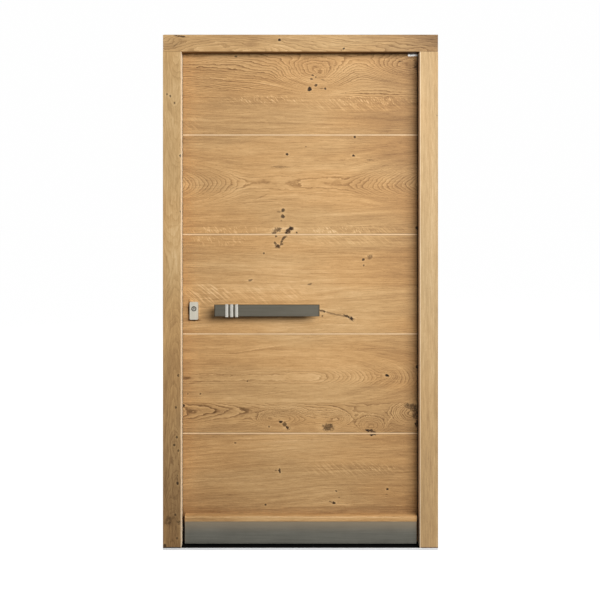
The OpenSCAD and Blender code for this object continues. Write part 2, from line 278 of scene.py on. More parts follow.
def oak(name, along, across, lamellas, seams=(), face=-0.005, knots=(), tone_and_shade_marks=(), swirls=(),
        rays=(), hatch=(), joints=(), pale=None, cream=None, foot_shade_line=None, place=on_leaf, seed=0.0, tint=(1, 1, 1), fine=1.0, tone=0.70,
        shade=None, deep=1.0):
    """Solid oak. along is the grain's axis, across the axis up the face. lamellas go from low to high along
    across, parted by seams. Each is a dict: a0 and tilt place the heart's line, d0, rise and mid its depth."""
    g = Graph(name)
    ax = {"x": g.x, "y": g.y, "z": g.z}
    L, A = ax[along], ax[across]
    third = ({"x", "y", "z"} - {along, across}).pop()
    D = g.m("MULTIPLY_ADD", ax[third], deep, -face * deep)
    steps = [g.m("GREATER_THAN", A, s) for s in seams]

    def scaled(kl, ka, add=None):
        v = [ka, ka, ka]
        v["xyz".index(along)] = kl
        if add:
            return g.vm("MULTIPLY_ADD", g.P, tuple(v), add)
        return g.vm("MULTIPLY", g.P, tuple(v))

    def lam(key, default=0.0):
        vals = [float(l.get(key, default)) for l in lamellas]
        acc = vals[0]
        for st, a, b in zip(steps, vals, vals[1:]):
            if b != a:
                acc = g.m("MULTIPLY_ADD", st, b - a, acc)
        return acc

    # slow wander of the grain, one figure for three uses
    slow = g.noise(scaled(1.7, 7.0, (seed, seed * 0.7 + 3.1, seed * 1.3 + 5.7)), 1.0, 2.0, 0.5, colour=True)
    sep = g.nt.nodes.new("ShaderNodeSeparateColor")
    g.nt.links.new(slow, sep.inputs[0])
    s1, s2, s3 = (S(g, sep.outputs[i]) for i in range(3))

    a0, tilt, d0, rise, mid = lam("a0"), lam("tilt"), lam("d0", 0.1), lam("rise"), lam("mid")
    drift = lam("drift", 0.045)
    run = L - mid if not (isinstance(mid, float) and mid == 0.0) else L
    flat = lam("flat")
    if not (isinstance(flat, float) and flat == 0.0):
        run = g.m("MAXIMUM", g.m("ABSOLUTE", run) - flat, 0.0)
    away = g.m("SQRT", g.m("MULTIPLY_ADD", run, run, 0.0064)) - 0.08
    d = g.m("MULTIPLY_ADD", away, rise, d0) - D
    d = g.m("MULTIPLY_ADD", s1 - 0.5, drift, d)
    a = (A - a0) - L * tilt
    a = g.m("MULTIPLY_ADD", s2 - 0.5, drift, a)
    r = g.m("SQRT", g.m("ADD", g.m("MULTIPLY", a, a), g.m("MULTIPLY", d, d)))
    F = r / 0.0034

    # small waves of the rings
    wave = g.noise(scaled(24.0, 62.0), 1.0, 2.0, 0.62)
    F = g.m("MULTIPLY_ADD", wave, 1.35, F)
    rough_edge = g.noise(g.P, 120.0, 3.0, 0.65, colour=True)
    Pn = g.vm("MULTIPLY_ADD", rough_edge, (0.011, 0.011, 0.011), g.vm("ADD", g.P, (-0.0055,) * 3))
    ragged = g.noise(g.P, 52.0, 3.0, 0.72, colour=True)
    Pk = g.vm("MULTIPLY_ADD", ragged, (0.024, 0.024, 0.024), g.vm("ADD", g.P, (-0.012,) * 3))
    mott = g.noise(g.P, 112.0, 4.0, 0.74)

    def at(px, py):
        u, v = place(px, py)
        return [u, face, v]

    def half(rx, rz):
        return (rx * PX, 10.0, rz * PX)

    for x, y, rx, ry, h in swirls:
        e = g.blob(at(x, y), half(rx, ry), 0.0, 1, Pn)
        F = F - g.smooth(e, 1.0, 0.0, 0.0, h)

    # rings: a dark start that fades and a pale end, and some rings stronger than others
    fr = g.m("FRACT", F)
    idx = g.m("FLOOR", F)
    wn = g.nt.nodes.new("ShaderNodeTexWhiteNoise")
    wn.noise_dimensions = "1D"
    g.put(wn.inputs["W"], idx)
    strong = S(g, wn.outputs["Value"])
    line = g.smooth(fr, 0.52, 0.06) * g.smooth(fr, 0.0, 0.08)
    ring = line * g.m("MULTIPLY_ADD", strong, 0.70, 0.45)
    end = g.smooth(fr, 0.70, 0.96)
    # bands of several rings, streaks that follow them
    band = g.noise(g.vec(F * 0.16, L * 1.2, seed + 1.0), 1.0, 3.0, 0.6)
    streak = g.noise(g.vec(F * 0.80, L * 6.0, seed + 4.0), 1.0, 2.0, 0.6)
    fibre = g.noise(scaled(15.0, 185.0), 1.0, 3.0, 0.62)
    hair = g.noise(scaled(45.0, 950.0), 1.0, 2.0, 0.6)
    speck = g.noise(g.P, 270.0, 2.0, 0.6)
    pore = g.noise(scaled(70.0, 760.0), 1.0, 1.0, 0.5)
    pores = g.smooth(pore, 0.60, 0.72) * g.m("MULTIPLY_ADD", line, 0.9, 0.3)

    k_ring = g.m("MULTIPLY", lam("ring", 1.0), fine)
    fade = lam("fade")
    if not (isinstance(fade, float) and fade == 0.0):
        k_ring = k_ring - g.m("MULTIPLY", g.m("MULTIPLY", k_ring, fade), g.smooth(g.m("ABSOLUTE", a), 0.018, 0.042))
    T = lam("tone") + tone
    T = g.m("MULTIPLY_ADD", g.m("MULTIPLY_ADD", ring, -0.20, end * 0.055), k_ring, T) + 0.030
    T = g.m("MULTIPLY_ADD", band - 0.5, 0.32 * fine, T)
    T = g.m("MULTIPLY_ADD", streak - 0.5, 0.27 * fine, T)
    T = g.m("MULTIPLY_ADD", s3 - 0.5, 0.15, T)
    T = g.m("MULTIPLY_ADD", fibre - 0.5, 0.34, T)
    T = g.m("MULTIPLY_ADD", hair - 0.5, 0.11, T)
    T = g.m("MULTIPLY_ADD", speck - 0.5, 0.10, T)
    T = g.m("MULTIPLY_ADD", pores, -0.17, T)

    def zone(y0, y1, x0, x1, k):
        (u0, v0), (u1, v1) = place(x0, y0), place(x1, y1)
        e = g.blob(((u0 + u1) / 2, face, (v0 + v1) / 2), (abs(u1 - u0) / 2, 10.0, abs(v1 - v0) / 2), 0.0, 1, Pn)
        return g.smooth(e, 1.22, 0.55, 0.0, k)

    # rays: pale slanting flecks where the cut runs along them, and a finer hatching
    if rays:
        shear = g.m("MULTIPLY_ADD", A, 0.62, L)
        rv = {along: shear * 175.0, across: A * 62.0, third: ax[third] * 60.0}
        rn = g.noise(g.vec(*[rv[k] for k in "xyz"]), 1.0, 2.0, 0.5)
        fleck = g.smooth(rn, 0.52, 0.67, -0.14, 1.0)
        for lo, hi, k, x0, x1 in rays:
            T = g.m("MULTIPLY_ADD", fleck, zone(lo, hi, x0, x1, k), T)
    if hatch:
        shear = g.m("MULTIPLY_ADD", A, 1.15, L)
        hv = {along: shear * 112.0, across: A * 26.0, third: ax[third] * 40.0}
        hn = g.smooth(g.noise(g.vec(*[hv[k] for k in "xyz"]), 1.0, 2.0, 0.5), 0.44, 0.66, -0.32, 0.68)
        for lo, hi, k, x0, x1 in hatch:
            T = g.m("MULTIPLY_ADD", hn, zone(lo, hi, x0, x1, k), T)

    # tone and shade marks: soft patches of tone; some are wood colour, others are painted shade, painted shadow or
    # painted light
    for x, y, rx, ry, deg, k in tone_and_shade_marks:
        e = g.blob(at(x, y), half(rx, ry), math.radians(deg), 1, Pn)
        T = T + g.smooth(e, 1.1, 0.1, 0.0, k)
    for s in seams:
        T = T + g.smooth(g.m("ABSOLUTE", A - s), 0.0016, 0.0003, 0.0, -0.10)
    for s in joints:
        T = T + g.smooth(g.m("ABSOLUTE", A - s), 0.0036, 0.0006, 0.0, -0.15)
    if shade:
        T = T + g.smooth(ax[shade[0]], shade[1], shade[2], shade[3], shade[4], "LINEAR")
    # pale: steps of tone along one axis; on the head and the weather bar they are painted shade and painted highlight
    for axis, z0, z1, k in ([pale] if pale and not isinstance(pale, list) else pale or []):
        T = T + g.smooth(ax[axis], z0, z1, 0.0, k)
    # painted shade: a dark line at the jamb's foot, where it meets the rail
    if foot_shade_line:
        T = T + g.smooth(g.z, foot_shade_line + 0.0058, foot_shade_line + 0.0024, 0.0, -0.42)

    small = large = None
    for x, y, rx, ry, deg, k in knots:
        big = rx > 2.3 and ry > 1.1
        e = g.blob(at(x, y), half(rx, ry), math.radians(deg), 1, Pk if big else Pn)
        if rx > 0.9 and k > 0.55 and rx / ry < 2.2:
            T = T + g.smooth(e, 2.6, 1.3, 0.0, 0.05)
        if big:
            c = g.smooth(g.m("MULTIPLY_ADD", mott, 1.9, e), 2.15, 1.50, 0.0, k)
            large = c if large is None else g.m("MAXIMUM", large, c)
        else:
            c = g.smooth(e, 1.18, 0.74, 0.0, k)
            small = c if small is None else g.m("MAXIMUM", small, c)
    colour = g.ramp(T, OAK)
    if large is not None:
        colour = g.mix(large, colour, g.ramp(mott, KNOT))
    if small is not None:
        colour = g.mix(small, colour, g.ramp(mott - 0.10, KNOT))
    hue = g.smooth(s1, 0.35, 0.65)
    lo = tuple(c * t for c, t in zip((1.02, 0.985, 0.94), tint))
    hi = tuple(c * t for c, t in zip((0.99, 1.005, 1.02), tint))
    colour = g.mix(1.0, colour, g.mix(hue, lo, hi), "MULTIPLY")
    if cream:
        pale_wood = g.ramp(fibre, [(0.35, (0.90, 0.71, 0.50)), (0.65, (0.97, 0.80, 0.60))])
        colour = g.mix(g.smooth(ax[cream[0]], cream[1], cream[2]), colour, pale_wood)
    g.put(g.bsdf.inputs["Base Color"], colour)
    g.put(g.bsdf.inputs["Roughness"], g.m("MULTIPLY_ADD", fibre, 0.16, g.m("MULTIPLY_ADD", ring, 0.10, 0.50)))
    g.bsdf.inputs["Specular IOR Level"].default_value = 0.20
    h = g.m("MULTIPLY_ADD", g.noise(scaled(70.0, 760.0), 1.0, 1.0, 0.5), 0.5, g.noise(scaled(15.0, 185.0), 1.0, 2.0, 0.6))
    g.bump(h, 0.22, 0.0006)
    return g.mat


def z_of(py):
    return on_leaf(0, py)[1]


LAM = {
    "A": dict(a0=z_of(44), d0=0.34, tilt=-0.070, tone=0.01, ring=1.35),
    "B": dict(a0=z_of(160), d0=0.05, tilt=-0.028, tone=0.0, ring=1.2),
    "C": dict(a0=z_of(183.3), d0=0.125, rise=-0.21, mid=-0.012, flat=0.20, tilt=0.008, tone=0.01, ring=1.05, drift=0.02, fade=0.45),
    "D": dict(a0=z_of(245), d0=0.04, tilt=0.030, tone=-0.005, ring=0.45),
    "E": dict(a0=z_of(330), d0=0.03, tilt=0.0, tone=0.015, ring=0.4),
    "F": dict(a0=z_of(200), d0=0.05, tilt=-0.012, tone=-0.005, ring=0.7),
    "G": dict(a0=z_of(390), d0=0.06, tilt=0.035, tone=0.03, ring=0.45),
    "H": dict(a0=z_of(377.5), d0=0.050, rise=0.21, mid=-0.45, flat=0.50, tilt=0.004, tone=0.0, ring=0.9, drift=0.012, fade=0.85),
    "I": dict(a0=z_of(411.5), d0=0.125, rise=-0.042, mid=0.30, tilt=-0.004, tone=-0.025, ring=1.5, drift=0.025, fade=0.3),
    "J": dict(a0=z_of(560), d0=0.05, tilt=0.045, tone=0.0, ring=1.2),
    "K": dict(a0=z_of(540), d0=0.03, tilt=0.02, tone=-0.055, ring=0.7),
}
INLAY_Z = [1.7841, 1.3514, 0.9187, 0.4860]
J0, J1 = 0.00275, -0.00275      # from an inlay's middle to the board above it and below it

# painted light: a soft fall of brightness away from the middle, with darker side edges, in all five boards
PAINTED_LIGHT = [(312, 290, 88, 420, 0, 0.055), (430, 290, 62, 420, 0, -0.085), (182, 290, 14, 420, 0, -0.10), (190, 235, 14, 40, 0, -0.045)]

outer = {}
outer[1] = oak(
    "oak_outer_board_1", "x", "z", [LAM["B"], LAM["A"]], [z_of(98)], seed=1.0,
    knots=[(235.9, 56.3, 1.4, 0.8, 0, 0.8), (312.8, 75.4, 1.3, 1.0, 0, 0.75), (311.4, 78.6, 1.5, 1.0, 15, 0.8),
           (315.6, 77.2, 1.0, 0.8, 0, 0.65), (309.5, 89.0, 2.0, 2.4, 20, 1.0),
           (316, 85.2, 1.7, 1.2, -20, 0.85), (325.2, 88.6, 1.3, 1.0, 0, 0.9), (322, 88.6, 2.2, 0.5, 0, 0.5),
           (323, 79.8, 2.4, 0.55, 10, 0.5), (401, 61.4, 2.4, 0.5, 0, 0.5), (345.8, 93, 0.8, 0.5, 0, 0.6),
           (416.4, 65.5, 2.7, 4.6, 0, 0.66)],
    swirls=[(316, 77, 50, 27, 9.0), (408, 66, 46, 24, 8.0), (321.4, 73, 9, 8, 2.4)],
    tone_and_shade_marks=[(222, 78.6, 40, 0.9, 3, 0.10), (272, 84.6, 34, 0.9, 10, 0.09), (224, 81.0, 42, 0.9, 3, -0.09),
           (274, 87.0, 34, 0.9, 11, -0.09), (230, 84.0, 46, 0.8, 1, 0.07), (222, 90.6, 34, 0.9, 0, -0.07),
           (222, 70.6, 14, 1.0, 13, -0.11), (300, 83.0, 18, 1.0, 18, -0.09), (245, 71.5, 40, 1.3, 6, -0.09), (240, 84.5, 42, 1.2, 2, -0.06), (215, 80, 34, 1.2, 1, -0.05),
           (270, 80, 36, 1.6, 9, -0.06), (300, 124, 90, 1.4, 2, -0.05), (250, 118, 70, 1.2, 4, -0.05),
           (355, 118.6, 36, 0.9, 0, -0.07), (235, 130, 60, 3.0, 2, -0.04), (345, 126, 60, 1.0, -3, 0.04), (412, 67, 9, 9, 0, -0.05)] + PAINTED_LIGHT
    + [(418, 75, 52, 50, 0, -0.06), (195, 66, 26, 20, 0, -0.06), (300, 62, 140, 10, 0, -0.02), (385, 122, 60, 26, 0, -0.08), (378, 90, 46, 15, 0, -0.065)],
    rays=[(95, 103.5, 0.20, 232, 305), (96, 106, 0.22, 326, 416)],
    hatch=[(97, 112, 0.13, 296, 418), (96, 106, 0.11, 214, 300), (116, 133, 0.10, 183, 200)],
    joints=[INLAY_Z[0] + J0])
outer[2] = oak(
    "oak_outer_board_2", "x", "z", [LAM["E"], LAM["D"], LAM["C"], LAM["B"]], [z_of(227), z_of(205), z_of(143)],
    seed=2.0,
    knots=[(354.9, 137, 1.3, 1.2, 0, 0.9), (305.8, 146.5, 0.9, 0.6, 0, 0.6), (287.0, 154.2, 1.5, 1.2, 30, 0.95),
           (353.4, 155.6, 1.6, 1.0, 10, 0.95), (370.5, 160, 4, 0.7, 0, 0.35), (280.5, 166.9, 10, 0.8, 0, 0.35),
           (283.2, 210.2, 2.0, 1.9, -25, 0.85), (279.0, 211.6, 2.0, 1.2, 0, 0.40), (282.7, 216.4, 2.2, 1.9, 0, 0.85),
           (274.6, 232.4, 3.2, 1.7, -12, 0.85), (278.6, 229.0, 3.2, 1.6, -10, 0.80), (276.4, 230.8, 4.4, 2.6, -30, 0.80),
           (287.6, 232.8, 3.4, 1.5, 0, 1.0), (288.8, 230.9, 3.8, 2.8, -30, 1.0), (290.8, 228.9, 3.9, 2.4, -8, 1.0), (296.8, 232.6, 0.9, 1.2, 0, 0.8),
           (416.8, 228, 1.6, 1.6, 0, 0.9), (281.4, 220.4, 0.9, 0.7, 0, 0.5)],
    swirls=[(283, 214, 24, 16, 3.5), (283, 232, 34, 16, 5.0), (354, 156, 12, 6, 1.2), (287, 154, 10, 5, 1.0)],
    tone_and_shade_marks=[(230, 158, 60, 1.6, -6, -0.06), (290, 148, 60, 1.2, -5, -0.035), (365, 172, 60, 1.2, -7, 0.05),
           (225, 222, 50, 1.6, -2, -0.08), (345, 196, 60, 1.3, 5, -0.05), (260, 199, 60, 1.2, -8, 0.06),
           (350, 214, 70, 1.6, -3, 0.05), (358, 157.4, 4, 1.2, 20, 0.10), (200, 196, 40, 1.0, 0, 0.05),
           (316.8, 160.3, 4, 0.7, 0, -0.16), (342.8, 159.8, 5, 0.7, -4, -0.16), (371.2, 160, 4.5, 0.7, 0, -0.18),
           (370, 195.5, 70, 1.0, 4, 0.06), (255, 203.5, 50, 1.0, -3, 0.07), (262, 196.5, 14, 0.9, -24, -0.14),
           (396, 150, 62, 30, 0, -0.09), (400, 190, 44, 22, 0, -0.05)] + PAINTED_LIGHT,
    rays=[(225.5, 235, 0.17, 184, 264), (226, 235, 0.18, 306, 384)],
    hatch=[(225, 234, 0.11, 300, 418)], joints=[INLAY_Z[0] + J1, INLAY_Z[1] + J0])
outer[3] = oak(
    "oak_outer_board_3", "x", "z", [LAM["G"], LAM["F"], LAM["E"]], [z_of(284), z_of(247)], seed=3.0,
    knots=[(276, 236.2, 1.4, 1.2, 0, 0.8), (285.0, 236.9, 2.6, 1.4, -15, 0.90), (282.7, 239.5, 3.8, 1.4, -52, 0.85), (277.8, 246.0, 3.2, 2.0, -20, 1.0),
           (275.2, 243.3, 2.0, 1.3, 45, 0.75), (281.0, 244.6, 3.0, 1.3, -35, 0.85),
           (264, 253.2, 1.1, 1.0, 0, 0.7), (363.4, 259.6, 1.6, 1.2, -15, 0.9),
           (369.6, 257.0, 3.2, 1.8, -30, 0.6), (363.8, 265.3, 1.0, 1.0, 0, 0.75), (250.4, 280.3, 2.3, 1.2, -22, 0.65),
           (309.6, 284.2, 2.4, 1.0, -18, 0.6), (322.8, 311, 2.8, 1.6, 28, 0.95), (337, 314.6, 15, 0.9, 13, 0.5),
           (351.4, 318.4, 3.0, 2.0, 25, 1.0), (346.8, 316.4, 3.6, 1.1, 25, 0.9), (322.2, 316.2, 0.9, 1.0, 0, 0.6)],
    swirls=[(283, 240, 36, 18, 5.0), (367, 259, 22, 9, 2.0), (338, 314, 36, 12, 3.5), (264, 253, 8, 4, 1.0)],
    tone_and_shade_marks=[(225, 253, 50, 2.0, 0, -0.06), (340, 253, 70, 1.4, 2, -0.06), (380, 257.5, 50, 1.3, 0, -0.07),
           (390, 272, 34, 1.2, 12, -0.05), (230, 268, 60, 1.6, 0, -0.04), (330, 290, 70, 2, -8, 0.05),
           (345, 309.5, 14, 2.2, 0, -0.06), (300, 275, 80, 1.2, 3, 0.04), (345, 325, 30, 1.2, 2, 0.08), (262, 280, 90, 32, 0, 0.065),
           # the last two marks are the lock plate's painted shadow, to its left and below it
           (189.0, 310.8, 1.5, 13.5, 0, -0.55), (194.4, 320.2, 8.0, 1.5, 0, -0.58)] + PAINTED_LIGHT,
    rays=[(234.5, 247, 0.15, 186, 250)],
    hatch=[(283, 306, 0.22, 183, 232), (283, 306, 0.10, 225, 312), (234, 246, 0.09, 290, 410)],
    joints=[INLAY_Z[1] + J1, INLAY_Z[2] + J0])
outer[4] = oak(
    "oak_outer_board_4", "x", "z", [LAM["I"], LAM["H"], LAM["G"]], [z_of(403), z_of(341)], seed=4.0,
    knots=[(187.7, 393.8, 1.0, 0.9, 0, 0.6), (200.2, 393.8, 1.2, 1.0, 0, 0.7), (247.5, 381, 0.9, 0.9, 0, 0.7),
           (183.6, 405.7, 1.5, 1.6, 0, 1.0), (387, 375.5, 2.3, 1.2, 12, 1.0), (417.4, 366.6, 1.6, 1.9, 0, 0.9),
           (280.7, 422, 2.0, 1.5, 0, 0.95), (284.6, 424.2, 2.2, 2.2, 40, 0.75), (287.8, 428.0, 2.6, 2.2, 20, 1.0),
           (268.9, 426.9, 1.1, 1.0, 0, 0.7), (328.2, 426.8, 6.2, 4.1, 0, 0.82), (370.8, 430.8, 5.8, 1.6, 4, 1.0), (373.0, 432.8, 4.0, 1.15, 0, 0.9),
           (411.0, 406.6, 7.0, 3.4, 8, 0.75), (415.2, 413.5, 3.4, 7.5, -12, 0.78), (417.2, 424, 2.4, 4.0, 0, 1.0)],
    joints=[INLAY_Z[2] + J1, INLAY_Z[3] + J0],
    swirls=[(285, 422, 40, 20, 9.0), (328, 424, 34, 18, 8.0), (371, 430, 27, 19, 10.0), (411, 414, 26, 22, 7.0),
            (388, 376, 15, 7, 2.5), (268, 418, 12, 9, 3.0), (340, 418, 14, 8, 3.0)],
    tone_and_shade_marks=[(208, 406.5, 9, 1.2, 22, -0.13), (215, 412.5, 4, 1.3, -30, -0.12), (199, 409.5, 5, 1.1, 35, -0.10),
           (243, 409.5, 6, 1.4, 40, -0.13), (250, 413.5, 9, 1.6, -12, -0.11), (228, 375.6, 34, 1.4, 0, -0.13), (196, 382.6, 16, 1.4, -12, -0.13), (188, 378, 8, 1.4, 3, -0.12),
           (240, 348, 70, 1.4, -6, 0.04), (264, 347.8, 44, 0.9, -9, 0.10), (258, 350.2, 40, 0.8, -8, -0.08),
           (372, 349.0, 36, 0.8, -3, -0.08), (232, 358.8, 30, 1.0, 0, -0.07), (276, 392.0, 34, 0.8, -8, 0.08),
           (270, 394.0, 40, 0.8, -7, -0.07), (365, 387.2, 34, 0.9, -2, -0.08), (205, 405, 30, 2.2, 2, -0.05), (215, 411, 44, 4.5, 0, -0.09),
           (262, 409, 60, 1.4, 3, -0.09), (345, 406, 60, 2.0, 0, -0.06), (310, 358, 90, 1.6, -3, -0.03),
           (300, 342, 80, 2.0, 0, 0.03), (340, 395, 90, 2.5, -3, -0.03), (352, 421, 3.0, 6, -20, 0.12), (189, 400, 16, 30, 0, -0.05), (191, 419, 14, 13, 0, -0.05), (382, 421, 26, 16, 0, -0.045), (388.5, 421.5, 5.5, 0.8, -52, 0.13),
           (391.0, 418.0, 4.5, 0.7, -52, 0.10), (386.0, 412.5, 6, 0.9, 42, -0.11), (396.5, 407.5, 5, 0.8, -62, -0.10)] + PAINTED_LIGHT,
    )
outer[5] = oak(
    "oak_outer_board_5", "x", "z", [LAM["K"], LAM["J"], LAM["I"]], [z_of(507), z_of(440)], seed=5.0,
    knots=[(235.3, 443, 1.0, 0.9, 0, 0.8), (279.6, 470.8, 1.1, 2.8, -8, 0.9), (275.8, 470.4, 0.9, 0.7, 0, 0.5),
           (265.6, 504.7, 1.0, 1.1, 25, 0.9), (336.2, 491.2, 1.1, 1.0, 0, 0.8), (339.3, 497.4, 0.8, 0.7, 0, 0.6),
           (333.8, 502.8, 1.8, 1.2, 0, 1.0), (330.4, 502, 1.8, 0.7, 10, 0.6), (387.2, 489.1, 1.4, 1.3, 0, 1.0),
           (386.6, 494.3, 1.2, 0.6, 0, 0.5), (372.8, 434.5, 3.4, 1.3, 0, 1.0)],
    swirls=[(336, 497, 26, 10, 2.5), (387, 491, 14, 8, 1.6), (371, 432, 30, 14, 4.0), (279.5, 471, 8, 6, 1.0)],
    tone_and_shade_marks=[(235, 479, 60, 1.6, -4, -0.06), (350, 469, 80, 1.3, -2, -0.05), (300, 500, 60, 1.3, -5, -0.06),
           # the marks at y 511 to 513 paint shade in a band just above the weather bar
           (220, 512.5, 50, 4.0, 0, -0.07), (350, 512, 80, 3.0, 1, -0.04), (346, 505.2, 10, 1.3, 4, 0.12),
           (399, 505.6, 8, 0.9, 0, 0.15), (230, 452, 60, 1.0, 2, 0.03), (380, 485, 50, 1.0, 1, -0.05),
           (196, 500, 66, 22, 0, -0.085), (402, 502, 80, 22, 0, -0.09), (300, 511.5, 160, 8, 0, -0.075), (265, 446, 80, 16, 0, 0.035),
           # painted shadow in the slot between the left jamb and the end of the weather bar
           (183.0, 533, 3.2, 24, 0, -0.85)] + PAINTED_LIGHT,
    rays=[(464, 471, 0.12, 350, 402)], hatch=[(461, 477, 0.12, 300, 408)], joints=[INLAY_Z[3] + J1])
for i in range(1, 6):
    o = NODE[f"outer_board_{i}"]
    o.data.materials.clear()
    o.data.materials.append(outer[i])


def dress(mat, *names):
    for n in names:
        o = NODE[n]
        o.data.materials.clear()
        o.data.materials.append(mat)


head = oak(
    "oak_head", "x", "z", [dict(a0=2.135, d0=0.10, rise=0.03, mid=-0.25, tilt=-0.012, ring=0.9)],
    face=-0.05, place=on_frame, seed=6.0, tone=0.73,
    knots=[(279.6, 39.8, 1.4, 1.4, 0, 1.0), (279.4, 36.0, 0.9, 0.5, 0, 0.45), (180, 36.1, 6, 0.8, 7, 0.85),
           (183.4, 36.5, 1.8, 0.9, 0, 0.95), (176, 44.5, 5, 0.55, -42, 0.35), (343.9, 48.6, 1.2, 0.9, 0, 0.9),
           (341.2, 50.2, 0.8, 0.6, 0, 0.5)],
    swirls=[(255, 52, 34, 9, 3.0), (280, 40, 10, 5, 1.0), (178, 38, 16, 7, 1.5)],
    tone_and_shade_marks=[(253, 44, 8, 9, 0, -0.06), (250, 42, 22, 9, 0, -0.045), (172, 44, 12, 10, 0, -0.05), (430, 42, 18, 11, 0, -0.02)],
    # pale darkens the head's underside: painted shade under the head
    tint=(0.960, 1.03, 1.12), shade=("x", 0.17, 0.59, 0.0, -0.29), pale=[("z", 2.1382, 2.1376, -0.24)])
left = oak(
    "oak_left_jamb", "z", "x", [dict(a0=-0.545, d0=0.10, rise=-0.07, mid=1.25, tilt=0.004, ring=0.5)],
    face=-0.05, place=on_frame, seed=7.0, tint=(0.950, 1.005, 1.04), tone=0.745, fine=0.8,
    knots=[(167, 94, 1.0, 1.2, 0, 0.6), (170.3, 96, 1.1, 1.1, 0, 0.75), (174.6, 102.8, 0.9, 1.3, 0, 0.7),
           (180.5, 155.9, 1.0, 1.4, 0, 0.9), (180.7, 211.5, 0.9, 1.0, 0, 0.7), (178.3, 375.5, 1.0, 1.5, 0, 0.7),
           (175.8, 407.4, 0.9, 1.2, 0, 0.7), (176.8, 437.1, 1.1, 1.4, 0, 0.8), (174.3, 445, 1.1, 1.2, 0, 0.8),
           (178.3, 450.5, 1.0, 1.3, 0, 0.7), (177.6, 483.3, 1.4, 1.6, 0, 0.95), (177.2, 477, 0.5, 5, 0, 0.5),
           (175.2, 514.8, 1.2, 1.4, 0, 0.85), (167.8, 520.6, 3.4, 4.6, 25, 0.55), (180, 522.8, 3.0, 2.2, 0, 0.75), (164.8, 545.6, 1.8, 1.8, 0, 0.85),
           (177, 538.2, 1.0, 1.2, 0, 0.7)],
    swirls=[(172, 99, 10, 18, 2.0), (180, 215, 9, 16, 1.6), (176, 444, 10, 22, 2.2), (177, 484, 8, 16, 1.8),
            (174, 519, 12, 20, 2.2), (180, 156, 7, 12, 1.2)],
    tone_and_shade_marks=[(169, 107, 4, 10, 0, -0.05), (166, 480, 3, 60, 0, -0.05), (174, 250, 16, 48, 0, 0.10), (174, 336, 16, 14, 0, 0.06),
           (174, 450, 14, 90, 0, -0.035), (172, 521, 11, 8, 0, -0.05)],
    shade=("z", 0.05, 1.25, -0.27, 0.0), pale=("z", 1.2, 1.9, 0.03), cream=("x", -0.5142, -0.5124), foot_shade_line=0.008)
right = oak(
    "oak_right_jamb", "z", "x", [dict(a0=0.70, d0=0.03, tilt=-0.004, ring=0.45)],
    face=-0.05, place=on_frame, seed=8.0, tint=(0.945, 1.065, 1.24), tone=0.775, fine=0.75,
    knots=[(437.3, 115.4, 0.9, 0.6, 0, 0.5)],
    shade=("z", 0.05, 1.5, -0.085, 0.0), pale=("z", 1.5, 2.1, -0.03), cream=("x", 0.5150, 0.5132), foot_shade_line=0.008)
dress(head, "frame_head")
dress(left, "left_jamb")
dress(right, "right_jamb")

W1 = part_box("weather_bar")[1].z
weather = oak("oak_weather_bar", "x", "z", [dict(a0=0.20, d0=0.06, tilt=0.006, ring=1.2)], face=-0.033, seed=9.0,
              tone=0.785, fine=1.3,
              tone_and_shade_marks=[(205, 519, 60, 9, 0, -0.13), (404, 519, 60, 9, 0, -0.09)],
              # pale paints a highlight on a band of the sloped top, and painted shade on the top's upper rear part
              # where it meets the leaf
              pale=[("z", W1 - 0.0022, W1 - 0.0008, -0.08), ("z", W1 - 0.0100, W1 - 0.0086, 0.14),
                    ("z", W1 - 0.0050, W1 - 0.0034, -0.15)])
dress(weather, "weather_bar")
dress(oak("oak_backing", "x", "z", [dict(a0=0.0, d0=0.05, ring=0.9)], face=-0.025, seed=10.0, tone=0.62),
      "kick_backing")
core = oak("oak_core", "x", "z",
           [dict(a0=-0.1, d0=0.05), dict(a0=0.6, d0=0.07, tone=0.03), dict(a0=0.9, d0=0.04, tone=-0.02),
            dict(a0=1.5, d0=0.06, tone=0.02), dict(a0=2.0, d0=0.05)],
           [0.41, 0.83, 1.27, 1.72], face=0.03, seed=11.0, tone=0.66)
dress(core, "leaf_core")
rng = random.Random(41)
spans = [(1.787, 2.175), (1.354, 1.781), (0.921, 1.349), (0.489, 0.916), (0.018, 0.483)]
for i, (z0, z1) in enumerate(spans, 1):
    cut = z0 + (z1 - z0) * (0.35 + 0.3 * rng.random())
    lams = []
    for lo, hi in ((z0, cut), (cut, z1)):
        lams.append(dict(a0=lo + (hi - lo) * (0.3 + 0.4 * rng.random()), d0=0.09 + 0.05 * rng.random(),
                         rise=rng.choice((-0.07, 0.06, -0.05)), mid=-0.2 + 0.4 * rng.random(),
                         tilt=-0.02 + 0.04 * rng.random(), tone=-0.02 + 0.04 * rng.random()))
    kn, sw = [], []
    for _ in range(5):
        kx, kz = -0.48 + 0.96 * rng.random(), z0 + 0.03 + (z1 - z0 - 0.06) * rng.random()
        px, py = 286.5 + (kx + 0.060) / PX, 211.8 + (1.450 - kz) / PX
        big = rng.random()
        kn.append((px, py, 1.2 + 2.6 * big * big, 1.0 + 2.0 * big * big, 40 * rng.random() - 20, 0.7 + 0.3 * rng.random()))
        sw.append((px, py, 14 + 24 * big, 7 + 10 * big, 1.5 + 5 * big))
    dress(oak(f"oak_inner_board_{i}", "x", "z", lams, [cut], face=0.075, knots=kn, swirls=sw, seed=20.0 + i,
              tone=0.70, deep=-1.0), f"inner_board_{i}")


# ------------------------------------------------------------------ the other materials

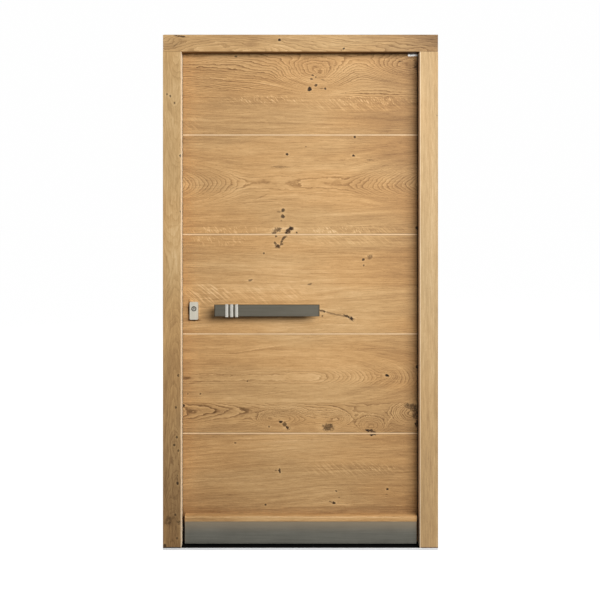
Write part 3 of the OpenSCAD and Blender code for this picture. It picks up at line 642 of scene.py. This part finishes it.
def inlay_mat():
    g = Graph("maple_inlay")
    n = g.noise(g.vm("MULTIPLY", g.P, (9.0, 260.0, 260.0)), 1.0, 3.0, 0.6)
    f = g.noise(g.vm("MULTIPLY", g.P, (70.0, 1500.0, 1500.0)), 1.0, 2.0, 0.5)
    t = g.m("MULTIPLY_ADD", f, 0.4, n * 0.6)
    c = g.ramp(t, [(0.32, (0.66, 0.450, 0.250)), (0.5, (0.76, 0.535, 0.315)), (0.70, (0.84, 0.610, 0.380))])
    g.put(g.bsdf.inputs["Base Color"], c)
    g.put(g.bsdf.inputs["Roughness"], g.m("MULTIPLY_ADD", f, 0.25, 0.42))
    g.bsdf.inputs["Specular IOR Level"].default_value = 0.20
    g.bump(f, 0.15, 0.0004)
    return g.mat


def steel(name, dark, pale, rough, along="x", grain=1.0, scuff=0.0, top=None):
    """Satin metal brushed along one axis. top, if given, paints a reflection: lighter and warmer towards the top."""
    g = Graph(name)
    v = [900.0, 900.0, 900.0]
    v["xyz".index(along)] = 9.0
    brush = g.noise(g.vm("MULTIPLY", g.P, tuple(v)), 1.0, 3.0, 0.65)
    v2 = [140.0, 140.0, 140.0]
    v2["xyz".index(along)] = 5.0
    wide = g.noise(g.vm("MULTIPLY", g.P, tuple(v2)), 1.0, 2.0, 0.5)
    cloud = g.noise(g.P, 14.0, 3.0, 0.6)
    t = g.m("MULTIPLY_ADD", brush, 0.5, g.m("MULTIPLY_ADD", wide, 0.3, cloud * 0.2))
    c = g.ramp(t, [(0.32, dark), (0.68, pale)])
    if scuff:
        s = g.smooth(g.noise(g.P, 60.0, 4.0, 0.7), 0.60, 0.72, 0.0, scuff)
        c = g.mix(s, c, tuple(min(1.0, p * 1.35) for p in pale))
    # painted reflection: lighter and warmer towards the top, like the oak bar above mirrored in the metal
    if top:
        z_lo, z_hi, painted_reflection = top
        c = g.mix(g.smooth(g.z, z_lo, z_hi, 0.0, 1.0, "SMOOTHERSTEP"), c, painted_reflection)
    g.put(g.bsdf.inputs["Base Color"], c)
    g.bsdf.inputs["Metallic"].default_value = 1.0
    r = g.m("MULTIPLY_ADD", brush, 0.16 * grain, g.m("MULTIPLY_ADD", cloud, 0.08, rough - 0.12))
    g.put(g.bsdf.inputs["Roughness"], r)
    g.bump(brush, 0.12 * grain, 0.0002)
    return g.mat


def rubber(name, lo=0.006, hi=0.016, rough=0.55):
    g = Graph(name)
    a = g.noise(g.P, 900.0, 2.0, 0.5)
    b = g.noise(g.P, 22.0, 3.0, 0.6)
    c = g.ramp(g.m("MULTIPLY_ADD", a, 0.5, b * 0.5), [(0.35, (lo, lo, lo)), (0.65, (hi, hi, hi * 1.05))])
    g.put(g.bsdf.inputs["Base Color"], c)
    g.put(g.bsdf.inputs["Roughness"], g.m("MULTIPLY_ADD", b, 0.25, rough - 0.1))
    g.bsdf.inputs["Specular IOR Level"].default_value = 0.08
    g.bump(a, 0.2, 0.0003)
    return g.mat


dress(inlay_mat(), "outer_inlays", "inner_inlays")
# the kick plate's top gets a painted reflection of the oak weather bar above it
kick = steel("satin_steel_kick", (0.205, 0.198, 0.165), (0.300, 0.290, 0.246), 0.44, "x", scuff=0.10,
             top=(0.050, 0.122, (0.43, 0.355, 0.255)))
bar_mat = steel("satin_steel_bar", (0.114, 0.105, 0.083), (0.156, 0.145, 0.117), 0.44, "x")
post_mat = steel("satin_steel_post", (0.22, 0.21, 0.185), (0.30, 0.285, 0.255), 0.38, "y")
band_mat = steel("satin_nickel_band", (0.47, 0.452, 0.41), (0.60, 0.582, 0.535), 0.46, "z")
nickel = steel("satin_nickel", (0.56, 0.525, 0.44), (0.72, 0.68, 0.58), 0.42, "z", scuff=0.08)
nickel_x = steel("satin_nickel_x", (0.60, 0.58, 0.54), (0.74, 0.72, 0.68), 0.34, "x")
dress(kick, "kick_plate")
dress(bar_mat, "pull_bar")
dress(post_mat, "pull_bar_posts", "lock_bolts")
dress(band_mat, "pull_bar_bands")
dress(nickel, "lock_plate", "lock_forend", "strike_plate", "top_hinge_frame_half", "middle_hinge_frame_half",
      "bottom_hinge_frame_half", "top_hinge_leaf_half", "middle_hinge_leaf_half", "bottom_hinge_leaf_half", "hinge_pins",
      "inner_lever_rose", "inner_lock_rose")
dress(steel("label_metal", (0.86, 0.86, 0.85), (0.95, 0.95, 0.94), 0.60, "x", 0.6), "label_plate")
dress(steel("satin_cylinder", (0.095, 0.088, 0.070), (0.150, 0.138, 0.112), 0.34, "y"), "lock_cylinder")
dress(steel("satin_plug", (0.36, 0.34, 0.29), (0.48, 0.455, 0.395), 0.40, "y"), "key_plug")
dress(nickel_x, "inner_lever")
dress(steel("mill_aluminium", (0.86, 0.875, 0.895), (0.95, 0.96, 0.975), 0.60, "x", scuff=0.1), "base_rail")
dress(rubber("black_threshold", 0.0006, 0.0014, 0.75), "threshold")
dress(rubber("gasket_rubber", 0.003, 0.008), "left_seal", "right_seal", "head_seal")

# ------------------------------------------------------------------ eased edges on the CAD pieces

EASE = {"frame_head": 1.2, "left_jamb": 1.2, "right_jamb": 1.2, "weather_bar": 1.0, "kick_plate": 0.5,
        "base_rail": 0.6, "threshold": 0.8, "inner_lever_rose": 0.8, "inner_lock_rose": 0.8, "strike_plate": 0.4,
        "lock_forend": 0.3, "lock_plate": 3.3, "pull_bar": 0.5, "pull_bar_bands": 0.7, "inner_lever": 0.8,
        "lock_cylinder": 0.9, "key_plug": 0.7, "label_plate": 0.2}
for i in range(1, 6):
    EASE[f"outer_board_{i}"] = 0.35
    EASE[f"inner_board_{i}"] = 0.5
for n in NODE:
    if "hinge" in n and "pins" not in n:
        EASE[n] = 0.5
for n, mm in EASE.items():
    o = NODE[n]
    w = o.modifiers.new("weld", "WELD")
    w.merge_threshold = 0.00001
    if n in ("left_jamb", "right_jamb"):        # one face round the screw holes, so that the bevel stays even
        d = o.modifiers.new("one_face", "DECIMATE")
        d.decimate_type = "DISSOLVE"
        d.angle_limit = math.radians(0.3)
    b = o.modifiers.new("ease", "BEVEL")
    b.width = mm / 1000
    b.segments = 3 if n == "lock_plate" else 2
    b.limit_method = "ANGLE"
    b.angle_limit = math.radians(35)
    b.use_clamp_overlap = True
    b.harden_normals = False
    wn = o.modifiers.new("normals", "WEIGHTED_NORMAL")
    wn.keep_sharp = False

# ------------------------------------------------------------------ small parts that the solids leave out


def loops(name, rings, body, mat, cap=True):
    """A closed mesh from rings of points of equal number, with a cap on the last."""
    me = bpy.data.meshes.new(name)
    n = len(rings[0])
    verts = [q for r in rings for q in r]
    faces = []
    for k in range(len(rings) - 1):
        for i in range(n):
            j = (i + 1) % n
            faces.append((k * n + i, k * n + j, (k + 1) * n + j, (k + 1) * n + i))
    if cap:
        base = (len(rings) - 1) * n
        faces.append(tuple(base + i for i in range(n)))
        faces.append(tuple(reversed(range(n))))
    me.from_pydata(verts, [], faces)
    b = bmesh.new()
    b.from_mesh(me)
    bmesh.ops.recalc_face_normals(b, faces=b.faces)
    b.to_mesh(me)
    b.free()
    for f in me.polygons:
        f.use_smooth = False
    me.materials.append(mat)
    o = bpy.data.objects.new(name, me)
    scene.collection.objects.link(o)
    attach(o, body)
    return o


def screws(name, places, normal, r, h, body):
    """Countersunk screws with a hexagon recess. places are the middles of their heads on the plate, in metres."""
    w = Vector(normal)
    u = w.orthogonal().normalized()
    v = w.cross(u)
    me = bpy.data.meshes.new(name)
    verts, faces = [], []
    n = 24
    profile = [(1.0, -0.35, 0), (1.0, 0.25, 0), (0.93, 0.72, 0), (0.62, 1.0, 0), (0.47, 0.96, 1), (0.43, -0.25, 1)]
    for c in places:
        c = Vector(c)
        base = len(verts)
        for rad, up, hexa in profile:
            for i in range(n):
                t = 2 * math.pi * i / n
                q = rad
                if hexa:
                    q = rad * math.cos(math.pi / 6) / math.cos((t % (math.pi / 3)) - math.pi / 6)
                verts.append(c + u * (r * q * math.cos(t)) + v * (r * q * math.sin(t)) + w * (h * up))
        for k in range(len(profile) - 1):
            for i in range(n):
                j = (i + 1) % n
                faces.append((base + k * n + i, base + k * n + j, base + (k + 1) * n + j, base + (k + 1) * n + i))
        faces.append(tuple(base + (len(profile) - 1) * n + i for i in range(n)))
        faces.append(tuple(reversed([base + i for i in range(n)])))
    me.from_pydata(verts, [], faces)
    b = bmesh.new()
    b.from_mesh(me)
    bmesh.ops.recalc_face_normals(b, faces=b.faces)
    b.to_mesh(me)
    b.free()
    me.materials.append(screw_mat)
    o = bpy.data.objects.new(name, me)
    scene.collection.objects.link(o)
    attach(o, body)
    return o


screw_mat = steel("screw_steel", (0.34, 0.33, 0.31), (0.50, 0.49, 0.46), 0.36, "z", 0.6)
for which in ("top", "middle", "bottom"):
    lo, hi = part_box(f"{which}_hinge_frame_half")
    zc = (lo.z + hi.z) / 2
    screws(f"{which}_hinge_frame_screws", [(0.580, 0.0540, zc + d) for d in (-0.048, -0.017, 0.017, 0.048)],
           (0, 1, 0), 0.0036, 0.0007, "frame")
    lo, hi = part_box(f"{which}_hinge_leaf_half")
    x_mid = lo.x + 0.012
    screws(f"{which}_hinge_leaf_screws",
           [(x_mid, 0.0790, zc - 0.046), (x_mid, 0.0790, zc), (x_mid, 0.0790, zc + 0.046),
            (x_mid + 0.017, 0.0790, zc - 0.026), (x_mid + 0.017, 0.0790, zc + 0.026)],
           (0, 1, 0), 0.0036, 0.0007, "leaf")
lo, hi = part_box("strike_plate")
yc = (lo.y + hi.y) / 2
screws("strike_plate_screws", [(hi.x, yc, lo.z + 0.010), (hi.x, yc, hi.z - 0.010), (hi.x, yc, (lo.z + hi.z) / 2 + 0.004)],
       (1, 0, 0), 0.0034, 0.0005, "frame")
lo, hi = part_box("lock_forend")
yc = (lo.y + hi.y) / 2
screws("lock_forend_screws", [(lo.x, yc, lo.z + d) for d in (0.015, 0.24, 0.46, 1.00, 1.28, 1.585)],
       (-1, 0, 0), 0.0034, 0.0005, "leaf")

# painted shade: a dark sheet in the keyway's shape, deep in the slot of the plug
KW = [(-1.3, 7.2), (0.5, 7.2), (0.5, 6.1), (1.3, 5.5), (1.3, 3.9), (0.2, 3.1), (1.2, 2.3), (1.2, 0.3), (-1.3, 0.3),
      (-1.3, 1.9), (-0.4, 2.6), (-0.4, 4.3), (-1.3, 5.0)]
kx, kz = -0.461, 1.0285
dark = rubber("keyway_shade", 0.004, 0.012, 0.5)
loops("keyway_shade_sheet", [[(kx + a / 1000, y, kz + b / 1000) for a, b in KW] for y in (-0.0145, -0.0196, -0.0199)],
      "key_plug", dark)
# painted shade: a very dark ring standing for the shaded groove round the cylinder's face
rim = []
for rad, y in ((0.0079, -0.0204), (0.0080, -0.02068), (0.0084, -0.02080), (0.0092, -0.02080), (0.0096, -0.02068),
               (0.0097, -0.0204)):
    rim.append([(kx + rad * math.cos(2 * math.pi * i / 64), y, 1.030 + rad * math.sin(2 * math.pi * i / 64))
                for i in range(64)])
rim.append(rim[0])
ring = loops("cylinder_ring", rim, "leaf",
             steel("groove_shade_metal", (0.030, 0.028, 0.024), (0.060, 0.056, 0.048), 0.34, "y"), cap=False)
for f in ring.data.polygons:
    f.use_smooth = True
